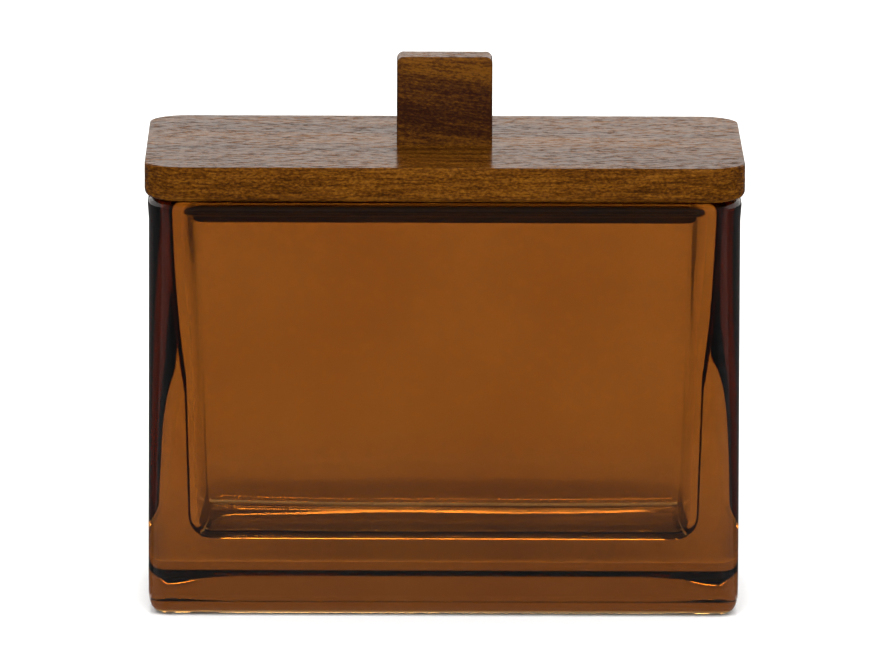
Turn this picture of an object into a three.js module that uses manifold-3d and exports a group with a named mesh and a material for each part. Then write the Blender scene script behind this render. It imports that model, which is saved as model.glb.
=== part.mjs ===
// A rectangular glass candle jar with a lift-off wooden lid, in millimetres, +Z up.
// The origin is the centre of the jar's foot: X runs along the jar's length and Y along its depth.
import * as THREE from "three";
import { mergeVertices } from "three/addons/utils/BufferGeometryUtils.js";
import Module from "manifold-3d";

// Driving dimensions

// Gaps: between pieces of the lid that are clamped together, and between the lid and the glass
const CLAMP_GAP = 0.1;
const GLASS_GAP = 0.3;

// Glass jar: a heavy pressed box whose walls thicken downwards to a thick base. Its upright corners
// are a little rounder than the lid's at the rim and tighten towards the foot.
const JAR = { length: 150, depth: 80, height: 106.5, rimCorner: 12.5, footCorner: 5, lip: 2 };
const FOOT = { rise: 5.5, endInset: 3.3, sideInset: 5.5 };
const BEAD = { proud: 0.3, height: 3 };
const CAVITY = { mouthWall: 7.6, floorWall: 10.2, floor: 18, corner: 6, floorFillet: 6, lip: 1.6 };

// Punt: the hollow under the base, which leaves a flat ring to stand on inside the rounded foot.
// Margins are from the jar's outer faces. The roof is reached by slopes that start and stop gently.
const PUNT = { height: 1.5, corner: 5 };
const PUNT_MARGIN = { ends: 4, sides: 8 };
const PUNT_SLOPE = { ends: 16, sides: 6 };
const PUNT_STEPS = 6;

// Lid board: it overhangs the glass by a millimetre on every side
const BOARD = { length: 152, depth: 82, thickness: 9, corner: 10, topEase: 0.8, bottomRound: 2.2 };

// Plug: the inner board that locates the lid in the jar's mouth, with a groove round its edge
const PLUG = { clearance: 2.6, thickness: 6.5, corner: 4.5, ease: 0.6 };
const GROOVE = { depth: 1.6, height: 3.2 };

// Seal: a silicone ring with a flat back in the groove and thin fins that reach towards the glass
const SEAL = { height: 2.8, fins: 2, finThickness: 0.7, finRoot: 0.3 };

// Handle: an upright block cut from the same stock as the board
const HANDLE = { length: 24.4, depth: 10.8, height: 22.5, corner: 0.9, topEase: 0.9, shoulder: 1.7 };

// Wood screws: countersunk from under the plug, through both boards and up into the handle
const SCREW = { length: 25, spacing: 13, thread: 1.75, core: 1.15, pitch: 2 };
const SCREW_HEAD = { radius: 3.5, rim: 0.25, height: 2.2 };
const SCREW_SLOT = { length: 4.2, width: 0.9, depth: 1.1 };

// Straight steps in a quarter turn of a plan corner and of a rounded edge, up the jar's body, and in
// a screw's whole turn
const CORNER_STEPS = 6;
const EDGE_STEPS = 4;
const BODY_STEPS = 8;
const SCREW_STEPS = 12;

// How far a cutter runs past the face it cuts, and the tightest corner of a stacked outline
const PAST = 1;
const LEAST_CORNER = 0.3;

// Heights worked out from the above
const BOARD_BOTTOM = JAR.height + GLASS_GAP;
const BOARD_TOP = BOARD_BOTTOM + BOARD.thickness;
const PLUG_TOP = BOARD_BOTTOM - CLAMP_GAP;
const PLUG_BOTTOM = PLUG_TOP - PLUG.thickness;
const GROOVE_MIDDLE = (PLUG_TOP + PLUG_BOTTOM) / 2;
const HANDLE_BOTTOM = BOARD_TOP + CLAMP_GAP;

const PLUG_MARGIN = CAVITY.mouthWall + PLUG.clearance;
const PLUG_PLAN = {
  length: JAR.length - 2 * PLUG_MARGIN,
  depth: JAR.depth - 2 * PLUG_MARGIN,
  corner: PLUG.corner,
};

// Solids

const wasm = await Module();
wasm.setup();

function toSolid(geometry) {
  const bare = geometry.clone();
  bare.deleteAttribute("normal");
  bare.deleteAttribute("uv");
  const merged = mergeVertices(bare, 1e-4);
  return new wasm.Manifold(
    new wasm.Mesh({
      numProp: 3,
      vertProperties: new Float32Array(merged.attributes.position.array),
      triVerts: new Uint32Array(merged.index.array),
    }),
  );
}

function toGeometry(solid) {
  const mesh = solid.getMesh();
  const geometry = new THREE.BufferGeometry();
  geometry.setAttribute("position", new THREE.BufferAttribute(mesh.vertProperties, 3));
  geometry.setIndex(new THREE.BufferAttribute(mesh.triVerts, 1));
  geometry.computeVertexNormals();
  return geometry;
}

function cut(geometry, cutters) {
  const solid = cutters.reduce((left, cutter) => left.subtract(toSolid(cutter)), toSolid(geometry));
  return toGeometry(solid);
}

// A plan is a rectangle { length, depth, corner } with round corners, centred on the Z axis.
function planPoints({ length, depth, corner }) {
  const outline = new THREE.Shape();
  const x = length / 2 - corner;
  const y = depth / 2 - corner;
  const quarter = Math.PI / 2;
  outline.absarc(x, y, corner, 0, quarter);
  outline.absarc(-x, y, corner, quarter, 2 * quarter);
  outline.absarc(-x, -y, corner, 2 * quarter, 3 * quarter);
  outline.absarc(x, -y, corner, 3 * quarter, 4 * quarter);
  return outline.getPoints(CORNER_STEPS).slice(0, -1);
}

// The same plan with every side moved inwards. Its corners tighten too, but never to a point.
function insetPlan({ length, depth, corner }, inset) {
  return {
    length: length - 2 * inset,
    depth: depth - 2 * inset,
    corner: Math.max(corner - inset, LEAST_CORNER),
  };
}

// A closed solid through plans stacked upwards, each level { z, plan }.
function stackSolid(levels) {
  const rings = levels.map(({ z, plan }) =>
    planPoints(plan).map((point) => new THREE.Vector3(point.x, point.y, z)),
  );
  const size = rings[0].length;
  const index = [];
  for (let level = 0; level + 1 < rings.length; level++) {
    for (let i = 0; i < size; i++) {
      const here = level * size + i;
      const next = level * size + ((i + 1) % size);
      index.push(here, next, next + size, here, next + size, here + size);
    }
  }
  const top = (rings.length - 1) * size;
  const outline = rings[0].map((point) => new THREE.Vector2(point.x, point.y));
  for (const [i, j, k] of THREE.ShapeUtils.triangulateShape(outline, [])) {
    index.push(i, k, j);
    index.push(top + i, top + j, top + k);
  }
  const geometry = new THREE.BufferGeometry().setFromPoints(rings.flat());
  geometry.setIndex(index);
  return geometry;
}

// A rounded edge, a quarter of an ellipse: rise is measured from the face that it meets, and inset
// from the side wall.
function quarterRound({ inset, rise }) {
  return Array.from({ length: EDGE_STEPS + 1 }, (_, i) => {
    const angle = (i / EDGE_STEPS) * (Math.PI / 2);
    return { rise: rise * (1 - Math.cos(angle)), inset: inset * (1 - Math.sin(angle)) };
  });
}

function circular(radius) {
  return quarterRound({ inset: radius, rise: radius });
}

// The levels of a rounded bottom or top edge, where planAt gives the side wall's plan at a height.
function roundedBottom(z, edge, planAt) {
  return edge.map(({ rise, inset }) => {
    return { z: z + rise, plan: insetPlan(planAt(z + rise), inset) };
  });
}

function roundedTop(z, edge, planAt) {
  const levels = edge.map(({ rise, inset }) => {
    return { z: z - rise, plan: insetPlan(planAt(z - rise), inset) };
  });
  return levels.reverse();
}

// Glass jar

// A rise from 0 to 1 that starts and stops gently.
function halfWave(part) {
  return (1 - Math.cos(part * Math.PI)) / 2;
}

function jarPlan(z) {
  const growth = (JAR.rimCorner - JAR.footCorner) * halfWave(z / JAR.height);
  return { length: JAR.length, depth: JAR.depth, corner: JAR.footCorner + growth };
}

// The foot's edge, which turns in further along the jar's sides than at its ends.
function jarFoot() {
  const further = FOOT.sideInset / FOOT.endInset - 1;
  return quarterRound({ inset: FOOT.endInset, rise: FOOT.rise }).map(({ rise, inset }) => {
    const plan = insetPlan(jarPlan(rise), inset);
    return { z: rise, plan: { ...plan, depth: plan.depth - 2 * inset * further } };
  });
}

// The outer shape: an upright box on a rounded foot, with a slight bead round the rim.
function jarOuter() {
  const underBead = JAR.height - 2 * BEAD.height;
  const body = Array.from({ length: BODY_STEPS }, (_, i) => {
    const z = FOOT.rise + ((underBead - FOOT.rise) * (i + 1)) / BODY_STEPS;
    return { z, plan: jarPlan(z) };
  });
  return stackSolid([
    ...jarFoot(),
    ...body,
    ...roundedTop(JAR.height, circular(JAR.lip), (z) => insetPlan(jarPlan(z), -BEAD.proud)),
  ]);
}

// The cavity: a drafted box with a filleted floor, whose mouth flares over the rounded inner lip.
function jarCavity() {
  const draft = (CAVITY.floorWall - CAVITY.mouthWall) / (JAR.height - CAVITY.floor);
  const planAt = (z) => {
    const wall = CAVITY.mouthWall + draft * (JAR.height - z);
    return { length: JAR.length - 2 * wall, depth: JAR.depth - 2 * wall, corner: CAVITY.corner };
  };
  const flare = circular(CAVITY.lip).map(({ rise, inset }) => {
    const z = JAR.height - rise;
    return { z, plan: insetPlan(planAt(z), -inset) };
  });
  flare.reverse();
  const mouth = flare[flare.length - 1].plan;
  return stackSolid([
    ...roundedBottom(CAVITY.floor, circular(CAVITY.floorFillet), planAt),
    ...flare,
    { z: JAR.height + PAST, plan: mouth },
  ]);
}

// The punt's plan at a part of the way up its slope.
function puntLevel(part) {
  return {
    z: PUNT.height * halfWave(part),
    plan: {
      length: JAR.length - 2 * (PUNT_MARGIN.ends + part * PUNT_SLOPE.ends),
      depth: JAR.depth - 2 * (PUNT_MARGIN.sides + part * PUNT_SLOPE.sides),
      corner: PUNT.corner,
    },
  };
}

function jarPunt() {
  const slope = Array.from({ length: PUNT_STEPS + 1 }, (_, i) => puntLevel(i / PUNT_STEPS));
  return stackSolid([{ z: -PAST, plan: slope[0].plan }, ...slope]);
}

function glassJar() {
  return cut(jarOuter(), [jarCavity(), jarPunt()]);
}

// Lid

const screwPlaces = { left: -SCREW.spacing / 2, right: SCREW.spacing / 2 };

// A turned piece that stands on the given height, at one screw's place, from its radii going upwards.
function turned(profile, x, z) {
  const points = profile.map(([radius, height]) => new THREE.Vector2(radius, height));
  const piece = new THREE.LatheGeometry(points, SCREW_STEPS);
  piece.rotateX(Math.PI / 2);
  piece.translate(x, 0, z);
  return piece;
}

// Holes that clear the threads of both screws, between two heights.
function screwHoles(bottom, top) {
  const radius = SCREW.thread + GLASS_GAP;
  const profile = [[0, 0], [radius, 0], [radius, top - bottom], [0, top - bottom]];
  return Object.values(screwPlaces).map((x) => turned(profile, x, bottom));
}

function countersinks() {
  const mouth = SCREW_HEAD.radius + GLASS_GAP;
  const bottom = SCREW_HEAD.height + GLASS_GAP;
  const profile = [[0, -PAST], [mouth, -PAST], [mouth, GLASS_GAP], [SCREW.thread, bottom], [0, bottom]];
  return Object.values(screwPlaces).map((x) => turned(profile, x, PLUG_BOTTOM));
}

function lidBoard() {
  const board = stackSolid([
    ...roundedBottom(BOARD_BOTTOM, circular(BOARD.bottomRound), () => BOARD),
    ...roundedTop(BOARD_TOP, circular(BOARD.topEase), () => BOARD),
  ]);
  return cut(board, screwHoles(BOARD_BOTTOM - PAST, BOARD_TOP + PAST));
}

// The groove runs right round, so it is cut with a ring: a slab less the core that stays.
function grooveRing() {
  const bottom = GROOVE_MIDDLE - GROOVE.height / 2;
  const top = GROOVE_MIDDLE + GROOVE.height / 2;
  const around = insetPlan(PLUG_PLAN, -PAST);
  const core = insetPlan({ ...PLUG_PLAN, corner: PLUG.corner + GROOVE.depth }, GROOVE.depth);
  const slab = stackSolid([{ z: bottom, plan: around }, { z: top, plan: around }]);
  return cut(slab, [stackSolid([{ z: bottom - PAST, plan: core }, { z: top + PAST, plan: core }])]);
}

function lidPlug() {
  const plug = stackSolid([
    ...roundedBottom(PLUG_BOTTOM, circular(PLUG.ease), () => PLUG_PLAN),
    { z: PLUG_TOP, plan: PLUG_PLAN },
  ]);
  const holes = screwHoles(PLUG_BOTTOM - PAST, PLUG_TOP + PAST);
  return cut(plug, [grooveRing(), ...holes, ...countersinks()]);
}

// The seal: fins stacked on a continuous back, with the core of the groove left free.
function lidSeal() {
  const bottom = GROOVE_MIDDLE - SEAL.height / 2;
  const top = bottom + SEAL.height;
  const tip = insetPlan(PLUG_PLAN, 2 * GLASS_GAP - PLUG.clearance);
  const root = insetPlan(PLUG_PLAN, -SEAL.finRoot);
  const pitch = (SEAL.height - SEAL.finThickness) / (SEAL.fins - 1);
  const levels = [];
  for (let fin = 0; fin < SEAL.fins; fin++) {
    const low = bottom + fin * pitch;
    const high = low + SEAL.finThickness;
    const edge = SEAL.finThickness / 3;
    levels.push({ z: low, plan: root }, { z: low + edge, plan: tip });
    levels.push({ z: high - edge, plan: tip }, { z: high, plan: root });
  }
  const inner = GROOVE.depth - CLAMP_GAP;
  const core = insetPlan({ ...PLUG_PLAN, corner: PLUG.corner + inner }, inner);
  const middle = stackSolid([{ z: bottom - PAST, plan: core }, { z: top + PAST, plan: core }]);
  return cut(stackSolid(levels), [middle]);
}

// The handle's front view, with round shoulders. It is wider than the block below the shoulders' centre.
function handleFront() {
  const front = new THREE.Shape();
  const side = HANDLE.length / 2;
  const centre = { x: side - HANDLE.shoulder, y: HANDLE.height - HANDLE.shoulder };
  front.moveTo(-side, -PAST);
  front.lineTo(side, -PAST);
  front.absarc(centre.x, centre.y, HANDLE.shoulder, 0, Math.PI / 2);
  front.absarc(-centre.x, centre.y, HANDLE.shoulder, Math.PI / 2, Math.PI);
  const through = { depth: HANDLE.depth + 2 * PAST, bevelEnabled: false, curveSegments: CORNER_STEPS };
  const prism = new THREE.ExtrudeGeometry(front, through);
  prism.rotateX(Math.PI / 2);
  prism.translate(0, HANDLE.depth / 2 + PAST, HANDLE_BOTTOM);
  return prism;
}

function lidHandle() {
  const block = stackSolid([
    { z: HANDLE_BOTTOM, plan: HANDLE },
    ...roundedTop(HANDLE_BOTTOM + HANDLE.height, circular(HANDLE.topEase), () => HANDLE),
  ]);
  const shaped = toSolid(block).intersect(toSolid(handleFront()));
  const screwTip = PLUG_BOTTOM + SCREW.length + GLASS_GAP;
  return cut(toGeometry(shaped), screwHoles(HANDLE_BOTTOM - PAST, screwTip));
}

// A countersunk wood screw on its head: ridges stand in for the thread, up to a tapered point.
function woodScrew(x) {
  const ridge = 0.3 * SCREW.pitch;
  const shoulder = SCREW.length - 2 * SCREW.pitch;
  const profile = [
    [0, 0],
    [SCREW_HEAD.radius, 0],
    [SCREW_HEAD.radius, SCREW_HEAD.rim],
    [SCREW.core, SCREW_HEAD.height],
  ];
  for (let z = SCREW_HEAD.height + SCREW.pitch; z < shoulder; z += SCREW.pitch) {
    profile.push([SCREW.core, z - ridge], [SCREW.thread, z], [SCREW.core, z + ridge]);
  }
  profile.push([SCREW.core, shoulder], [0, SCREW.length]);
  const cross = [0, Math.PI / 2].map((turn) => {
    const slot = new THREE.BoxGeometry(SCREW_SLOT.length, SCREW_SLOT.width, 2 * SCREW_SLOT.depth);
    slot.rotateZ(turn);
    slot.translate(x, 0, PLUG_BOTTOM);
    return slot;
  });
  return cut(turned(profile, x, PLUG_BOTTOM), cross);
}

// Materials

const materials = {
  amberGlass: { color: 0x83491c, roughness: 0.03, metalness: 0, transparent: true, opacity: 0.5 },
  boardWood: { color: 0x5f3a14, roughness: 0.38, metalness: 0 },
  plugWood: { color: 0x4a2a12, roughness: 0.5, metalness: 0 },
  handleWood: { color: 0x4e2f14, roughness: 0.4, metalness: 0 },
  silicone: { color: 0x3a2a24, roughness: 0.45, metalness: 0 },
  steel: { color: 0xa8a8a4, roughness: 0.3, metalness: 1 },
};

// Assembly

function piece(name, geometry, finish) {
  const mesh = new THREE.Mesh(geometry, new THREE.MeshStandardMaterial(materials[finish]));
  mesh.name = name;
  return mesh;
}

const lid = new THREE.Group();
lid.add(piece("lid_board", lidBoard(), "boardWood"));
lid.add(piece("lid_plug", lidPlug(), "plugWood"));
lid.add(piece("lid_seal", lidSeal(), "silicone"));
lid.add(piece("lid_handle", lidHandle(), "handleWood"));
for (const [side, x] of Object.entries(screwPlaces)) {
  lid.add(piece(`handle_screw_${side}`, woodScrew(x), "steel"));
}

const candleJar = new THREE.Group();
candleJar.add(piece("glass_jar", glassJar(), "amberGlass"));
candleJar.add(lid);

export default candleJar;
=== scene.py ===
# Looks for a rectangular amber glass candle jar with a lift-off wooden lid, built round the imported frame.
# Lengths are in millimetres until they become mesh points, which are in metres.
import math

import bpy
from mathutils import Matrix, Vector


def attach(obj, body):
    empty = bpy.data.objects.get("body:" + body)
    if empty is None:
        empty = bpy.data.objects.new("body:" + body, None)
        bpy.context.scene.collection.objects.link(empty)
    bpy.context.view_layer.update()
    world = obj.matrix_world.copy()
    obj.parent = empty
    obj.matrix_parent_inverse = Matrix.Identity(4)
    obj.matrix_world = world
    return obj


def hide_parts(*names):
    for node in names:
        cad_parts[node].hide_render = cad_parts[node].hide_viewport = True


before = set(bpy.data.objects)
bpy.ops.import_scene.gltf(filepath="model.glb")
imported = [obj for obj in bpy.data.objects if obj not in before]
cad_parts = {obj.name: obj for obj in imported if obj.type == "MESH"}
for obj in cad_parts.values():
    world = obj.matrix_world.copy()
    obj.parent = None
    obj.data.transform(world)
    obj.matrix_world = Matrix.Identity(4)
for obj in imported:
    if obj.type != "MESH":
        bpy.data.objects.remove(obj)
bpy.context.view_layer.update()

MM = 0.001
QUARTER = math.pi / 2

# Camera: a long lens a little above the lid, level but for a slight roll
CAMERA = {"elevation": 10.5, "azimuth": -0.29, "roll": 0.22, "distance": 2.81, "lens": 442, "sensor": 36}
CAMERA_AIM = Vector((0.6, 0, 65.6)) * MM

# Glass: clear, with a thin coat of amber on the outside. The coat starts part of the way up the foot's
# rounded edge, at the ring of that number, and leaves the underside clear.
JAR = {"length": 150, "depth": 80, "height": 106.5, "rim_corner": 12.5, "foot_corner": 5, "lip": 2}
FOOT_RISE = 5.5
FOOT_INSET = (3.3, 5.5)
BEAD = {"proud": 0.3, "height": 3}
CAVITY = {"mouth_wall": 7.6, "floor_wall": 10.2, "floor": 18, "corner": 6, "fillet": 6, "lip": 1.6}
PUNT = {"height": 1.5, "corner": 5}
PUNT_MARGIN = (4, 8)
PUNT_SLOPE = (16, 6)
GLASS_WAVES = {"outside": 0.08, "cavity": 2.2}
COAT_DEPTH = 0.15
COAT_START = 4

# Lid: the board, the plug and its seal, and the handle
BOARD = {"length": 152, "depth": 82, "bottom": 106.8, "top": 115.8, "corner": 10}
BOARD_TOP_EASE = 0.45
BOARD_BOTTOM_ROUND = 2.2
PLUG = {"length": 129.6, "depth": 59.6, "bottom": 100.2, "top": 106.8, "corner": 4.5}
PLUG_BOTTOM_EASE = 0.6
PLUG_TOP_EASE = 0.1
GROOVE = {"depth": 1.6, "height": 3.2, "edge": 0.15}
SEAL = {"height": 2.8, "fin": 0.7, "tip": 2.0, "root": 0.3, "back": 1.5}
HANDLE = {"length": 24.4, "depth": 10.8, "bottom": 115.8, "top": 138.4, "corner": 0.9}
HANDLE_SHOULDER = (1.7, 0.85)

# Wood screws: countersunk, cross slotted, with a thread that winds up to the point
SCREW_OFFSET = 6.5
SCREW = {"length": 25, "core": 1.15, "point": 4, "tip": 0.05}
THREAD = {"radius": 1.7, "pitch": 2, "ridge": 0.22, "start": 8, "run_in": 2}
SCREW_HEAD = {"radius": 3.45, "rim": 0.25, "height": 2.2}
SCREW_SLOT = {"length": 2.1, "width": 0.5, "depth": 1.0, "wall": 0.2, "end": 0.9}

# How finely the meshes are stepped, and the smallest corner that a ring may have
CORNER_STEPS = 20
ROUND_STEPS = 10
BODY_STEPS = 12
TURN_STEPS = 32
HEAD_STEPS = 24
FIN_STEPS = 4
SCREW_STEP = 0.2
LEAST_CORNER = 0.3

# Colours, as linear light. The coat's is what two passes let through.
AMBER = (0.158, 0.043, 0.0034)
CLEAR = (0.98, 0.98, 0.98)
BOARD_TONES = ((0.022, 0.007, 0.0010), (0.066, 0.021, 0.0020), (0.130, 0.048, 0.0045))
# The plug's tones are darker than the board's: its wood is dark, and the darker tones also paint in the
# shade that falls on it under the lid.
PLUG_SHADED_TONES = ((0.008, 0.002, 0.0015), (0.024, 0.007, 0.0040), (0.045, 0.014, 0.0070))
HANDLE_TONES = ((0.020, 0.006, 0.0030), (0.050, 0.017, 0.0035), (0.105, 0.038, 0.0045))

# How strongly the growth bands show, and the handle's bands: a height and how light the wood is there.
# The handle's grain leans by an angle in radians.
BOARD_CONTRAST = 1.2
HANDLE_CONTRAST = 1.6
HANDLE_BANDS = ((115.8, 0.5), (118, 0.42), (120.5, 0.28), (124, 0.3), (130, 0.5), (135, 0.7), (138.4, 0.62))
HANDLE_LEAN = -0.12

# Studio, in metres and watts: the world is bright behind the jar, dimmer above it and dark before it.
# The world fades along a direction's Y and Z, between the limits given.
WORLD_LIGHT = 0.95
WORLD_TINT = (1, 0.96, 0.92, 1)
WORLD_FRONT = 0.2
WORLD_FRONT_FADE = (-0.15, 0.15)
WORLD_ABOVE = 0.4
WORLD_ABOVE_FADE = (0.3, 0.8)
KEY = {"power": 400, "size": 5.0}
KEY_PLACE = Vector((0, -3.2, 2.8))
FILL = {"power": 95, "size": 0.9}
FILL_PLACE = Vector((0, 2.4, 2.9))
FLOOR_HALF = 3.5
FLOOR_DROP = 0.0003
PAPER_TONE = 0.9

# Veils over the floor, painted shade that only reflections see: how much they cover near the jar and further
# off, and where each reaches that
SHADE_NEAR = 0.8
SHADE_FAR = 0.97
SHADE_FRONT = (0.03, 0.3)
SHADE_SIDE = (0.085, 0.1)
SHADE_FRONT_HEIGHT = 0.0005
SHADE_SIDE_HEIGHT = 0.001

LIGHT_BOUNCES = 64


# ---------- Meshes ----------

def plan_ring(length, depth, corner, height, tilt, tilt_sides=None):
    """Points and normals round a rectangle with round corners. The normals point tilt above level at
    the rectangle's ends, and tilt_sides above level at its long sides."""
    points, normals = [], []
    x, y = length / 2 - corner, depth / 2 - corner
    for turn, (cx, cy) in enumerate(((x, y), (-x, y), (-x, -y), (x, -y))):
        for step in range(CORNER_STEPS + 1):
            angle = (turn + step / CORNER_STEPS) * QUARTER
            across = Vector((math.cos(angle), math.sin(angle), 0))
            lean = tilt
            if tilt_sides is not None:
                lean = tilt * across.x ** 2 + tilt_sides * across.y ** 2
            points.append((Vector((cx, cy, height)) + across * corner) * MM)
            normals.append(across * math.cos(lean) + Vector((0, 0, math.sin(lean))))
    return points, normals


def turned_ring(radius, height, tilt, at=(0, 0)):
    """Points and normals of a circle, whose radius may be a function of the angle."""
    points, normals = [], []
    for step in range(TURN_STEPS):
        angle = step / TURN_STEPS * 4 * QUARTER
        reach = radius(angle) if callable(radius) else radius
        across = Vector((math.cos(angle), math.sin(angle), 0))
        points.append((Vector((at[0], at[1], height)) + across * reach) * MM)
        normals.append(across * math.cos(tilt) + Vector((0, 0, math.sin(tilt))))
    return points, normals


def loft(name, rings, bottom=True, top=True, joined=False, shaded=True):
    """A mesh through stacked rings. It is closed by flat ends, or by joining the last ring to the first."""
    points = [point for ring, _ in rings for point in ring]
    normals = [normal for _, ring in rings for normal in ring]
    size = len(rings[0][0])
    faces = []
    for level in range(len(rings) if joined else len(rings) - 1):
        for i in range(size):
            here, following = level * size + i, level * size + (i + 1) % size
            corners = (here, following, following + size, here + size)
            faces.append(tuple(corner % len(points) for corner in corners))
    if bottom and not joined:
        faces.append(tuple(reversed(range(size))))
    if top and not joined:
        faces.append(tuple(range(len(points) - size, len(points))))
    mesh = bpy.data.meshes.new(name)
    mesh.from_pydata(points, [], faces)
    mesh.shade_smooth()
    if shaded:
        mesh.normals_split_custom_set_from_vertices(normals)
    piece = bpy.data.objects.new(name, mesh)
    bpy.context.scene.collection.objects.link(piece)
    return piece


def round_steps():
    """The angles of a quarter turn."""
    return [step / ROUND_STEPS * QUARTER for step in range(ROUND_STEPS + 1)]


def slab_rings(plan, bottom_round, top_round):
    """Rings of a board with rounded arrises. plan holds length, depth, corner, bottom and top."""
    rings = []
    for angle in round_steps():
        inset = bottom_round * (1 - math.sin(angle))
        height = plan["bottom"] + bottom_round * (1 - math.cos(angle))
        rings.append(inset_ring(plan, inset, height, angle - QUARTER))
    for angle in round_steps():
        inset = top_round * (1 - math.cos(angle))
        height = plan["top"] - top_round * (1 - math.sin(angle))
        rings.append(inset_ring(plan, inset, height, angle))
    return rings


def inset_ring(plan, inset, height, tilt):
    """A ring that lies inset from the plan's outline all round."""
    corner = max(plan["corner"] - inset, LEAST_CORNER)
    return plan_ring(plan["length"] - 2 * inset, plan["depth"] - 2 * inset, corner, height, tilt)


# ---------- Glass jar ----------

def half_wave(part):
    """A rise from 0 to 1 that starts and stops gently."""
    return (1 - math.cos(part * math.pi)) / 2


def jar_plan(height):
    """The jar's outline at a height. Its corners get rounder from the foot to the rim."""
    growth = (JAR["rim_corner"] - JAR["foot_corner"]) * half_wave(height / JAR["height"])
    return {"length": JAR["length"], "depth": JAR["depth"], "corner": JAR["foot_corner"] + growth}


def punt_rings():
    """The hollow under the base, from its roof out to the ring that the jar stands on."""
    rings = []
    for step in range(ROUND_STEPS, -1, -1):
        part = step / ROUND_STEPS
        height = PUNT["height"] * half_wave(part)
        rise = PUNT["height"] * QUARTER * math.sin(part * math.pi)
        tilts = [-QUARTER - math.atan(rise / slope) for slope in PUNT_SLOPE]
        length = JAR["length"] - 2 * (PUNT_MARGIN[0] + part * PUNT_SLOPE[0])
        depth = JAR["depth"] - 2 * (PUNT_MARGIN[1] + part * PUNT_SLOPE[1])
        rings.append(plan_ring(length, depth, PUNT["corner"], height, *tilts))
    return rings


def side_rings(depth_in=0.0):
    """The outside, from the foot's rounded edge up to the rim, moved inwards by depth_in."""
    rings = []
    for angle in round_steps():
        height = FOOT_RISE * (1 - math.cos(angle))
        plan = jar_plan(height)
        insets = [inset * (1 - math.sin(angle)) for inset in FOOT_INSET]
        tilts = [math.atan2(-math.cos(angle) / FOOT_RISE, math.sin(angle) / inset) for inset in FOOT_INSET]
        length, depth = plan["length"] - 2 * insets[0], plan["depth"] - 2 * insets[1]
        corner = max(plan["corner"] - insets[0], LEAST_CORNER)
        rings.append(plan_ring(length, depth, corner, height, *tilts))
    under_bead = JAR["height"] - 2 * BEAD["height"]
    for step in range(1, BODY_STEPS + 1):
        height = FOOT_RISE + (under_bead - FOOT_RISE) * step / BODY_STEPS
        rings.append(inset_ring(jar_plan(height), 0, height, 0))
    for angle in round_steps():
        height = JAR["height"] - JAR["lip"] * (1 - math.sin(angle))
        inset = JAR["lip"] * (1 - math.cos(angle)) - BEAD["proud"]
        rings.append(inset_ring(jar_plan(height), inset, height, angle))
    if not depth_in:
        return rings
    return [([p - n * depth_in * MM for p, n in zip(*ring)], ring[1]) for ring in rings]


def cavity_plan(height):
    """The cavity's outline at a height. Its walls lean in towards the floor."""
    draft = (CAVITY["floor_wall"] - CAVITY["mouth_wall"]) / (JAR["height"] - CAVITY["floor"])
    wall = CAVITY["mouth_wall"] + draft * (JAR["height"] - height)
    length, depth = JAR["length"] - 2 * wall, JAR["depth"] - 2 * wall
    return {"length": length, "depth": depth, "corner": CAVITY["corner"]}


def cavity_rings():
    """The inside, over the rim's inner lip and down to the filleted floor."""
    rings = []
    for angle in round_steps():
        height = JAR["height"] - CAVITY["lip"] * (1 - math.cos(angle))
        inset = -CAVITY["lip"] * (1 - math.sin(angle))
        rings.append(inset_ring(cavity_plan(height), inset, height, QUARTER + angle))
    for angle in round_steps():
        height = CAVITY["floor"] + CAVITY["fillet"] * (1 - math.sin(angle))
        inset = CAVITY["fillet"] * (1 - math.cos(angle))
        rings.append(inset_ring(cavity_plan(height), inset, height, math.pi - angle))
    return rings


def make_jar():
    """The jar as one closed mesh, with a material for the outside and base and one for the cavity."""
    outside, inside = punt_rings() + side_rings(), cavity_rings()
    jar = loft("jar_glass", outside + inside)
    jar.data.materials.append(glass_material("outer_glass", GLASS_WAVES["outside"]))
    jar.data.materials.append(glass_material("cavity_glass", GLASS_WAVES["cavity"]))
    ring_size = len(outside[0][0])
    base = len(jar.data.polygons) - 2
    for face in jar.data.polygons:
        inner = face.index // ring_size >= len(outside) - 1
        face.material_index = 1 if inner and face.index != base else 0
    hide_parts("glass_jar")
    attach(jar, "jar")


def make_coat():
    """The amber coat. It lies just inside the glass, so that light bouncing off the outside crosses it."""
    coat = loft("jar_coat", side_rings(COAT_DEPTH)[COAT_START:], bottom=False, top=False)
    coat.data.materials.append(coat_material())
    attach(coat, "jar")


# ---------- Lid ----------

def place(piece, node, material):
    """Gives a piece of the lid its material, and puts it in its CAD node's place."""
    piece.data.materials.append(material)
    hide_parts(node)
    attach(piece, "lid")


def make_board():
    board = loft("board", slab_rings(BOARD, BOARD_BOTTOM_ROUND, BOARD_TOP_EASE))
    place(board, "lid_board", wood_material("board_wood", BOARD_TONES, BOARD_CONTRAST))


def groove_rings():
    """The groove round the plug's edge, with its two arrises just broken."""
    middle = (PLUG["bottom"] + PLUG["top"]) / 2
    half, edge, depth = GROOVE["height"] / 2, GROOVE["edge"], GROOVE["depth"]
    steps = ((0, -half - edge, 0), (edge, -half, QUARTER), (depth - edge, -half, QUARTER))
    steps += ((depth, -half + edge, 0), (depth, half - edge, 0))
    steps += ((depth - edge, half, -QUARTER), (edge, half, -QUARTER), (0, half + edge, 0))
    return [inset_ring(PLUG, inset, middle + height, tilt) for inset, height, tilt in steps]


def make_plug():
    slab = slab_rings(PLUG, PLUG_BOTTOM_EASE, PLUG_TOP_EASE)
    rings = slab[: ROUND_STEPS + 1] + groove_rings() + slab[ROUND_STEPS + 1:]
    # Darker tones than the board's, partly painted shade for the plug's place under the lid.
    wood = wood_material("plug_wood", PLUG_SHADED_TONES, BOARD_CONTRAST)
    place(loft("plug", rings), "lid_plug", wood)


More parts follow.
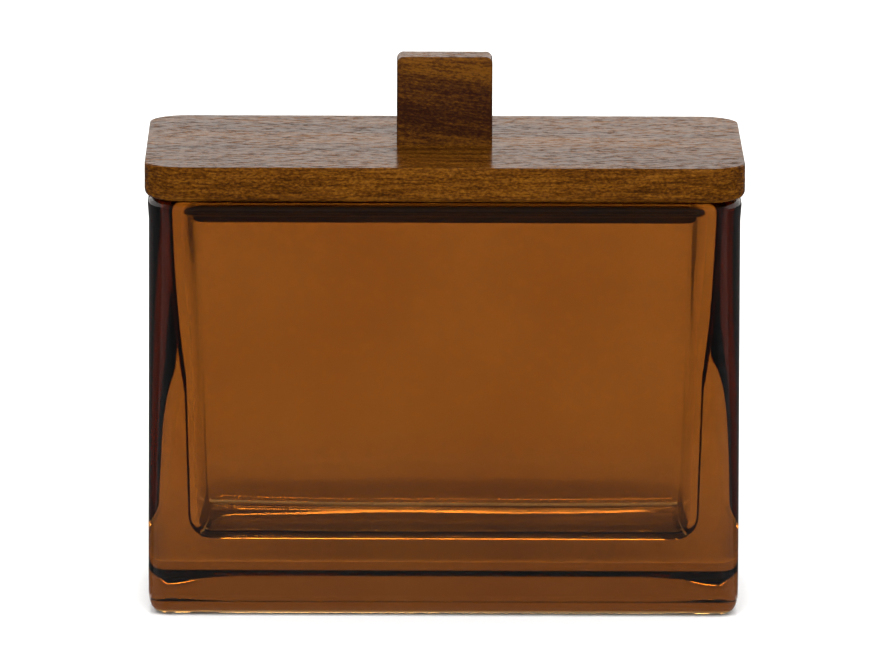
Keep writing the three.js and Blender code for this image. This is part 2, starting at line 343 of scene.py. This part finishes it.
def make_seal():
    """A silicone ring of one loop section: a flat back in the groove and two rounded fins."""
    middle = (PLUG["bottom"] + PLUG["top"]) / 2
    half, fin = SEAL["height"] / 2, SEAL["fin"]
    section = [(-SEAL["back"], -half, math.pi)]
    for low in (-half, half - fin):
        section.append((SEAL["root"], low, -QUARTER))
        for step in range(FIN_STEPS + 1):
            angle = (step / FIN_STEPS - 0.5) * math.pi
            reach = SEAL["tip"] - fin / 2 * (1 - math.cos(angle))
            section.append((reach, low + fin / 2 * (1 + math.sin(angle)), angle))
        section.append((SEAL["root"], low + fin, QUARTER))
    section.append((-SEAL["back"], half, math.pi))
    rings = [inset_ring(PLUG, -out, middle + height, tilt) for out, height, tilt in section]
    place(loft("seal", rings, joined=True), "lid_seal", silicone_material())


def make_handle():
    """An upright block, round on its two shoulders and almost square on its long arrises."""
    rings = [plan_ring(HANDLE["length"], HANDLE["depth"], HANDLE["corner"], HANDLE["bottom"], 0)]
    across, along = HANDLE_SHOULDER
    for angle in round_steps():
        length = HANDLE["length"] - 2 * across * (1 - math.cos(angle))
        depth = HANDLE["depth"] - 2 * along * (1 - math.cos(angle))
        corner = HANDLE["corner"] - along * (1 - math.cos(angle))
        height = HANDLE["top"] - across * (1 - math.sin(angle))
        lean = math.atan2(math.sin(angle) / across, math.cos(angle) / along)
        rings.append(plan_ring(length, depth, corner, height, angle, lean))
    handle = loft("handle", rings)
    material = wood_material("handle_wood", HANDLE_TONES, HANDLE_CONTRAST, HANDLE_BANDS, HANDLE_LEAN)
    place(handle, "lid_handle", material)


# ---------- Screws ----------

def slot_depth(x, y):
    """How deep the cross slot is at a point of the screw's head."""
    near, far = sorted((abs(x), abs(y)))
    wall = min(1, max(0, (SCREW_SLOT["width"] - near) / SCREW_SLOT["wall"]))
    end = min(1, max(0, (SCREW_SLOT["length"] - far) / SCREW_SLOT["end"]))
    return SCREW_SLOT["depth"] * wall * end


def head_rings(x, z):
    """The flat face of the head, from its middle outwards, with the cross slot pressed in."""
    rings = []
    for step in range(1, HEAD_STEPS + 1):
        radius = SCREW_HEAD["radius"] * step / HEAD_STEPS
        points, normals = turned_ring(radius, z, -QUARTER, (x, 0))
        pressed = [p + Vector((0, 0, slot_depth(p.x / MM - x, p.y / MM) * MM)) for p in points]
        rings.append((pressed, normals))
    return rings


def thread_radius(height):
    """The radius at a height above the head as a function of the angle, so that the thread winds."""
    left = SCREW["length"] - height
    size = min(1, left / SCREW["point"])
    start = min(1, max(0, (height - THREAD["start"]) / THREAD["run_in"]))

    def radius(angle):
        phase = (height / THREAD["pitch"] - angle / (4 * QUARTER)) % 1
        ridge = max(0, 1 - abs(phase - 0.5) / THREAD["ridge"]) * start
        return max(SCREW["tip"], (SCREW["core"] + (THREAD["radius"] - SCREW["core"]) * ridge) * size)

    return radius


def make_screw(name, x):
    """A screw that stands point up, its head's face level with the plug's underside."""
    z = PLUG["bottom"]
    rings = head_rings(x, z)
    rings.append(turned_ring(SCREW_HEAD["radius"], z + SCREW_HEAD["rim"], 0, (x, 0)))
    height = SCREW_HEAD["height"]
    while height < SCREW["length"] - SCREW_STEP / 2:
        rings.append(turned_ring(thread_radius(height), z + height, 0, (x, 0)))
        height += SCREW_STEP
    screw = loft(name, rings, shaded=False)
    place(screw, name, steel_material())


# ---------- Materials ----------

class Graph:
    """A material's nodes, added and joined by short calls."""

    def __init__(self, name, lean=0.0):
        self.lean = lean
        self.material = bpy.data.materials.new(name)
        self.material.use_nodes = True
        self.tree = self.material.node_tree
        self.shader = self.tree.nodes["Principled BSDF"]

    def add(self, kind, inputs, **settings):
        node = self.tree.nodes.new(kind)
        for key, value in settings.items():
            setattr(node, key, value)
        for key, value in inputs.items():
            self.feed(node.inputs[key], value)
        return node

    def feed(self, socket, value):
        if isinstance(value, bpy.types.NodeSocket):
            self.tree.links.new(value, socket)
        else:
            socket.default_value = value

    def shade(self, **inputs):
        for key, value in inputs.items():
            self.feed(self.shader.inputs[key.replace("_", " ")], value)
        return self.material

    def coordinates(self):
        """Object coordinates, turned about Y by the angle that the pattern leans."""
        place_on = self.add("ShaderNodeTexCoord", {}).outputs["Object"]
        turned = {"Vector": place_on, "Angle": self.lean}
        return self.add("ShaderNodeVectorRotate", turned, rotation_type="Y_AXIS").outputs[0]

    def stretched(self, scale, shift=(0, 0, 0)):
        """Coordinates scaled so that a pattern repeats about so many times per metre along each axis."""
        values = {"Vector": self.coordinates(), "Scale": scale, "Location": shift}
        return self.add("ShaderNodeMapping", values).outputs[0]

    def noise(self, vector, detail, roughness=0.5, distortion=0.0):
        values = {"Vector": vector, "Scale": 1.0, "Detail": detail}
        values.update({"Roughness": roughness, "Distortion": distortion})
        return self.add("ShaderNodeTexNoise", values).outputs[0]

    def span(self, value, low, high, to_low=0.0, to_high=1.0):
        values = {"Value": value, "From Min": low, "From Max": high, "To Min": to_low, "To Max": to_high}
        return self.add("ShaderNodeMapRange", values).outputs[0]

    def math(self, operation, first, second):
        node = self.add("ShaderNodeMath", {}, operation=operation)
        self.feed(node.inputs[0], first)
        self.feed(node.inputs[1], second)
        return node.outputs[0]

    def ramp(self, value, stops):
        node = self.add("ShaderNodeValToRGB", {"Fac": value})
        elements = node.color_ramp.elements
        while len(elements) < len(stops):
            elements.new(0.5)
        for element, (position, colour) in zip(elements, stops):
            element.position = position
            element.color = (*colour, 1)
        return node.outputs[0]

    def blend(self, kind, factor, first, second):
        node = self.add("ShaderNodeMix", {}, data_type="RGBA", blend_type=kind)
        self.feed(node.inputs["Factor"], factor)
        self.feed(node.inputs["A"], first)
        self.feed(node.inputs["B"], second)
        return node.outputs["Result"]

    def bump(self, height, distance, strength=1.0):
        values = {"Height": height, "Distance": distance, "Strength": strength}
        return self.add("ShaderNodeBump", values).outputs[0]


def glass_material(name, waves):
    """Clear pressed glass. waves is how far its surface seems to wander, in millimetres."""
    graph = Graph(name)
    slow = graph.noise(graph.stretched((14, 22, 14)), 1.0)
    return graph.shade(
        Base_Color=(*CLEAR, 1),
        Roughness=0.0,
        IOR=1.5,
        Transmission_Weight=1.0,
        Normal=graph.bump(slow, waves * MM),
    )


def coat_material():
    """The amber coat, a filter that neither bends nor mirrors light, sprayed a little unevenly."""
    graph = Graph("amber_coat")
    cloud = graph.noise(graph.stretched((25, 25, 25)), 3.0)
    speck = graph.noise(graph.stretched((1800, 1800, 1800)), 1.0)
    thin = tuple(value ** 0.9 for value in AMBER)
    thick = tuple(value ** 1.1 for value in AMBER)
    depth = graph.math("ADD", graph.math("MULTIPLY", cloud, 0.5), graph.math("MULTIPLY", speck, 0.5))
    colour = graph.ramp(depth, ((0.3, thin), (0.7, thick)))
    return graph.shade(Base_Color=colour, Roughness=0.0, IOR=1.0, Transmission_Weight=1.0)


def growth_bands(graph, heights):
    """Broad bands of light and dark wood, given as (height, tone) pairs from dark 0 to light 1."""
    low, high = heights[0][0], heights[-1][0]
    up = graph.add("ShaderNodeSeparateXYZ", {"Vector": graph.coordinates()}).outputs["Z"]
    wander = graph.span(graph.noise(graph.stretched((35, 35, 90)), 3.0), 0, 1, -4 * MM, 4 * MM)
    part = graph.span(graph.math("ADD", up, wander), low * MM, high * MM)
    return graph.ramp(part, [((height - low) / (high - low), (tone,) * 3) for height, tone in heights])


def wood_material(name, tones, contrast, heights=None, lean=0.0):
    """Lacquered hardwood with its grain along X, or leaning from it: growth bands, fibres, short dark
    pores and flecks. contrast is how strongly the bands show, and heights can fix where they lie."""
    graph = Graph(name, lean)
    dark, middle, light = tones
    band = graph.noise(graph.stretched((5, 60, 75), (0.3, 0, 0)), 3.0, 0.55, 0.6)
    if heights:
        ragged = graph.span(band, 0, 1, -0.35, 0.35)
        band = graph.math("ADD", growth_bands(graph, heights), ragged)
    fibre = graph.noise(graph.stretched((70, 420, 1100)), 5.0, 0.7)
    fleck = graph.noise(graph.stretched((1000, 800, 2200)), 2.0, 0.7)
    grain = graph.math("ADD", graph.span(fibre, 0.2, 0.8, -0.5, 0.5), graph.span(fleck, 0.2, 0.8, -0.5, 0.5))
    tone = graph.math("ADD", graph.span(band, 0.5 - 0.5 / contrast, 0.5 + 0.5 / contrast), grain)
    colour = graph.ramp(tone, ((0.1, dark), (0.5, middle), (0.9, light)))
    pores = graph.noise(graph.stretched((210, 760, 2400)), 2.0, 0.6)
    pore = graph.span(pores, 0.57, 0.72)
    pit = tuple(value * 0.5 for value in dark)
    colour = graph.blend("MIX", graph.math("MULTIPLY", pore, 0.7), colour, (*pit, 1))
    streak = graph.noise(graph.stretched((290, 950, 1500)), 4.0, 0.7)
    worn = graph.math("ADD", graph.math("MULTIPLY", pore, 0.5), graph.span(streak, 0.42, 0.57))
    height = graph.math("SUBTRACT", fibre, graph.math("MULTIPLY", pore, 0.6))
    return graph.shade(
        Base_Color=colour,
        Roughness=graph.span(fibre, 0.3, 0.7, 0.13, 0.22),
        Specular_IOR_Level=graph.span(worn, 0, 1, 0.13, 0.003),
        Specular_Tint=(1, 0.84, 0.68, 1),
        Normal=graph.bump(height, 0.02 * MM, 0.6),
    )


def silicone_material():
    graph = Graph("silicone")
    cloud = graph.noise(graph.stretched((300, 300, 300)), 3.0)
    colour = graph.ramp(cloud, ((0.3, (0.035, 0.016, 0.012)), (0.7, (0.060, 0.028, 0.020))))
    return graph.shade(Base_Color=colour, Roughness=graph.span(cloud, 0.3, 0.7, 0.35, 0.5))


def steel_material():
    graph = Graph("screw_steel")
    marks = graph.noise(graph.stretched((900, 900, 200)), 4.0)
    colour = graph.ramp(marks, ((0.3, (0.38, 0.38, 0.36)), (0.7, (0.62, 0.61, 0.57))))
    return graph.shade(Base_Color=colour, Metallic=1.0, Roughness=graph.span(marks, 0.3, 0.7, 0.22, 0.42))


def paper_material(name, tone, spread):
    graph = Graph(name)
    grain = graph.noise(graph.stretched((700, 700, 700)), 3.0)
    low, high = tone - spread, tone + spread
    colour = graph.ramp(grain, ((0.3, (low, low, low)), (0.7, (high, high, high))))
    return graph.shade(Base_Color=colour, Roughness=0.9, Specular_IOR_Level=0.0)


# ---------- Studio ----------

def add_camera():
    data = bpy.data.cameras.new("camera")
    data.lens = CAMERA["lens"]
    data.sensor_width = CAMERA["sensor"]
    data.clip_end = 20
    camera = bpy.data.objects.new("camera", data)
    bpy.context.scene.collection.objects.link(camera)
    azimuth, elevation = math.radians(CAMERA["azimuth"]), math.radians(CAMERA["elevation"])
    level = math.cos(elevation)
    back = Vector((math.sin(azimuth) * level, -math.cos(azimuth) * level, math.sin(elevation)))
    turn = (-back).to_track_quat("-Z", "Y").to_matrix().to_4x4()
    stand = Matrix.Translation(CAMERA_AIM + back * CAMERA["distance"])
    camera.matrix_world = stand @ turn @ Matrix.Rotation(math.radians(CAMERA["roll"]), 4, "Z")
    bpy.context.scene.camera = camera


def add_sheet(name, low, high, height, material):
    """A level sheet between two opposite corners, each an X and a Y in metres."""
    mesh = bpy.data.meshes.new(name)
    corners = [(low[0], low[1], height), (high[0], low[1], height)]
    corners += [(high[0], high[1], height), (low[0], high[1], height)]
    mesh.from_pydata(corners, [], [(0, 1, 2, 3)])
    mesh.materials.append(material)
    sheet = bpy.data.objects.new(name, mesh)
    bpy.context.scene.collection.objects.link(sheet)
    return sheet


def add_floor():
    reach = FLOOR_HALF
    paper = paper_material("floor_paper", PAPER_TONE, 0.01)
    add_sheet("floor", (-reach, -reach), (reach, reach), -FLOOR_DROP, paper)


def veil_material(name, axis, start, end):
    """A dark veil, painted shade for reflections, that thickens from start to end, on both sides of the
    middle.
    """
    graph = Graph(name)
    place_on = graph.add("ShaderNodeTexCoord", {}).outputs["Object"]
    axes = graph.add("ShaderNodeSeparateXYZ", {"Vector": place_on})
    distance = graph.math("ABSOLUTE", axes.outputs[axis], 0.0)
    cover = graph.span(distance, start, end, SHADE_NEAR, SHADE_FAR)
    return graph.shade(Base_Color=(0.02, 0.02, 0.02, 1), Roughness=0.9, Alpha=cover)


def add_shade():
    """Dark veils over the floor all round the jar, painted shade seen only in reflections."""
    front, side, reach = SHADE_FRONT[0], SHADE_SIDE[0], FLOOR_HALF
    low, high = SHADE_FRONT_HEIGHT, SHADE_SIDE_HEIGHT
    deep = veil_material("veil_front_back", "Y", *SHADE_FRONT)
    wide = veil_material("veil_sides", "X", *SHADE_SIDE)
    veils = [add_sheet("shade_front", (-reach, -reach), (reach, -front), low, deep)]
    veils.append(add_sheet("shade_left", (-reach, -front), (-side, reach), high, wide))
    veils.append(add_sheet("shade_right", (side, -front), (reach, reach), high, wide))
    veils.append(add_sheet("shade_back", (-side, front), (side, reach), low, deep))
    for veil in veils:
        veil.visible_camera = False
        veil.visible_diffuse = False
        veil.visible_transmission = False
        veil.visible_shadow = False


def add_lamp(name, values, place_at, shows):
    """A square lamp aimed at the jar. shows says whether it is seen through the glass."""
    lamp = bpy.data.lights.new(name, "AREA")
    lamp.shape = "SQUARE"
    lamp.size = values["size"]
    lamp.energy = values["power"]
    light = bpy.data.objects.new(name, lamp)
    turn = (-place_at).to_track_quat("-Z", "Y").to_matrix().to_4x4()
    light.matrix_world = Matrix.Translation(place_at) @ turn
    light.visible_camera = False
    light.visible_glossy = False
    light.visible_transmission = shows
    bpy.context.scene.collection.objects.link(light)


def world_fade(tree, direction, limits, first, second):
    """A strength that goes from first to second as a direction's part goes between its limits."""
    fade = tree.nodes.new("ShaderNodeMapRange")
    fade.interpolation_type = "SMOOTHSTEP"
    fade.inputs["From Min"].default_value = limits[0]
    fade.inputs["From Max"].default_value = limits[1]
    fade.inputs["To Min"].default_value = first
    fade.inputs["To Max"].default_value = second
    tree.links.new(direction, fade.inputs["Value"])
    return fade.outputs[0]


def add_world():
    world = bpy.data.worlds.new("studio")
    bpy.context.scene.world = world
    world.use_nodes = True
    tree = world.node_tree
    axes = tree.nodes.new("ShaderNodeSeparateXYZ")
    tree.links.new(tree.nodes.new("ShaderNodeTexCoord").outputs["Generated"], axes.inputs[0])
    dim = WORLD_LIGHT * WORLD_FRONT
    behind = world_fade(tree, axes.outputs["Y"], WORLD_FRONT_FADE, dim, WORLD_LIGHT)
    above = world_fade(tree, axes.outputs["Z"], WORLD_ABOVE_FADE, 1, WORLD_ABOVE)
    both = tree.nodes.new("ShaderNodeMath")
    both.operation = "MULTIPLY"
    tree.links.new(behind, both.inputs[0])
    tree.links.new(above, both.inputs[1])
    background = tree.nodes["Background"]
    tree.links.new(both.outputs[0], background.inputs["Strength"])
    background.inputs["Color"].default_value = WORLD_TINT


def set_light_paths():
    """Light goes round inside thick glass many times before it finds a way out."""
    scene = bpy.context.scene
    scene.view_settings.view_transform = "Standard"
    scene.cycles.max_bounces = LIGHT_BOUNCES
    scene.cycles.glossy_bounces = LIGHT_BOUNCES
    scene.cycles.transmission_bounces = LIGHT_BOUNCES


set_light_paths()
add_camera()
add_world()
add_floor()
add_shade()
add_lamp("key", KEY, KEY_PLACE, False)
add_lamp("fill", FILL, FILL_PLACE, True)
make_jar()
make_coat()
make_board()
make_plug()
make_seal()
make_handle()
make_screw("handle_screw_left", -SCREW_OFFSET)
make_screw("handle_screw_right", SCREW_OFFSET)
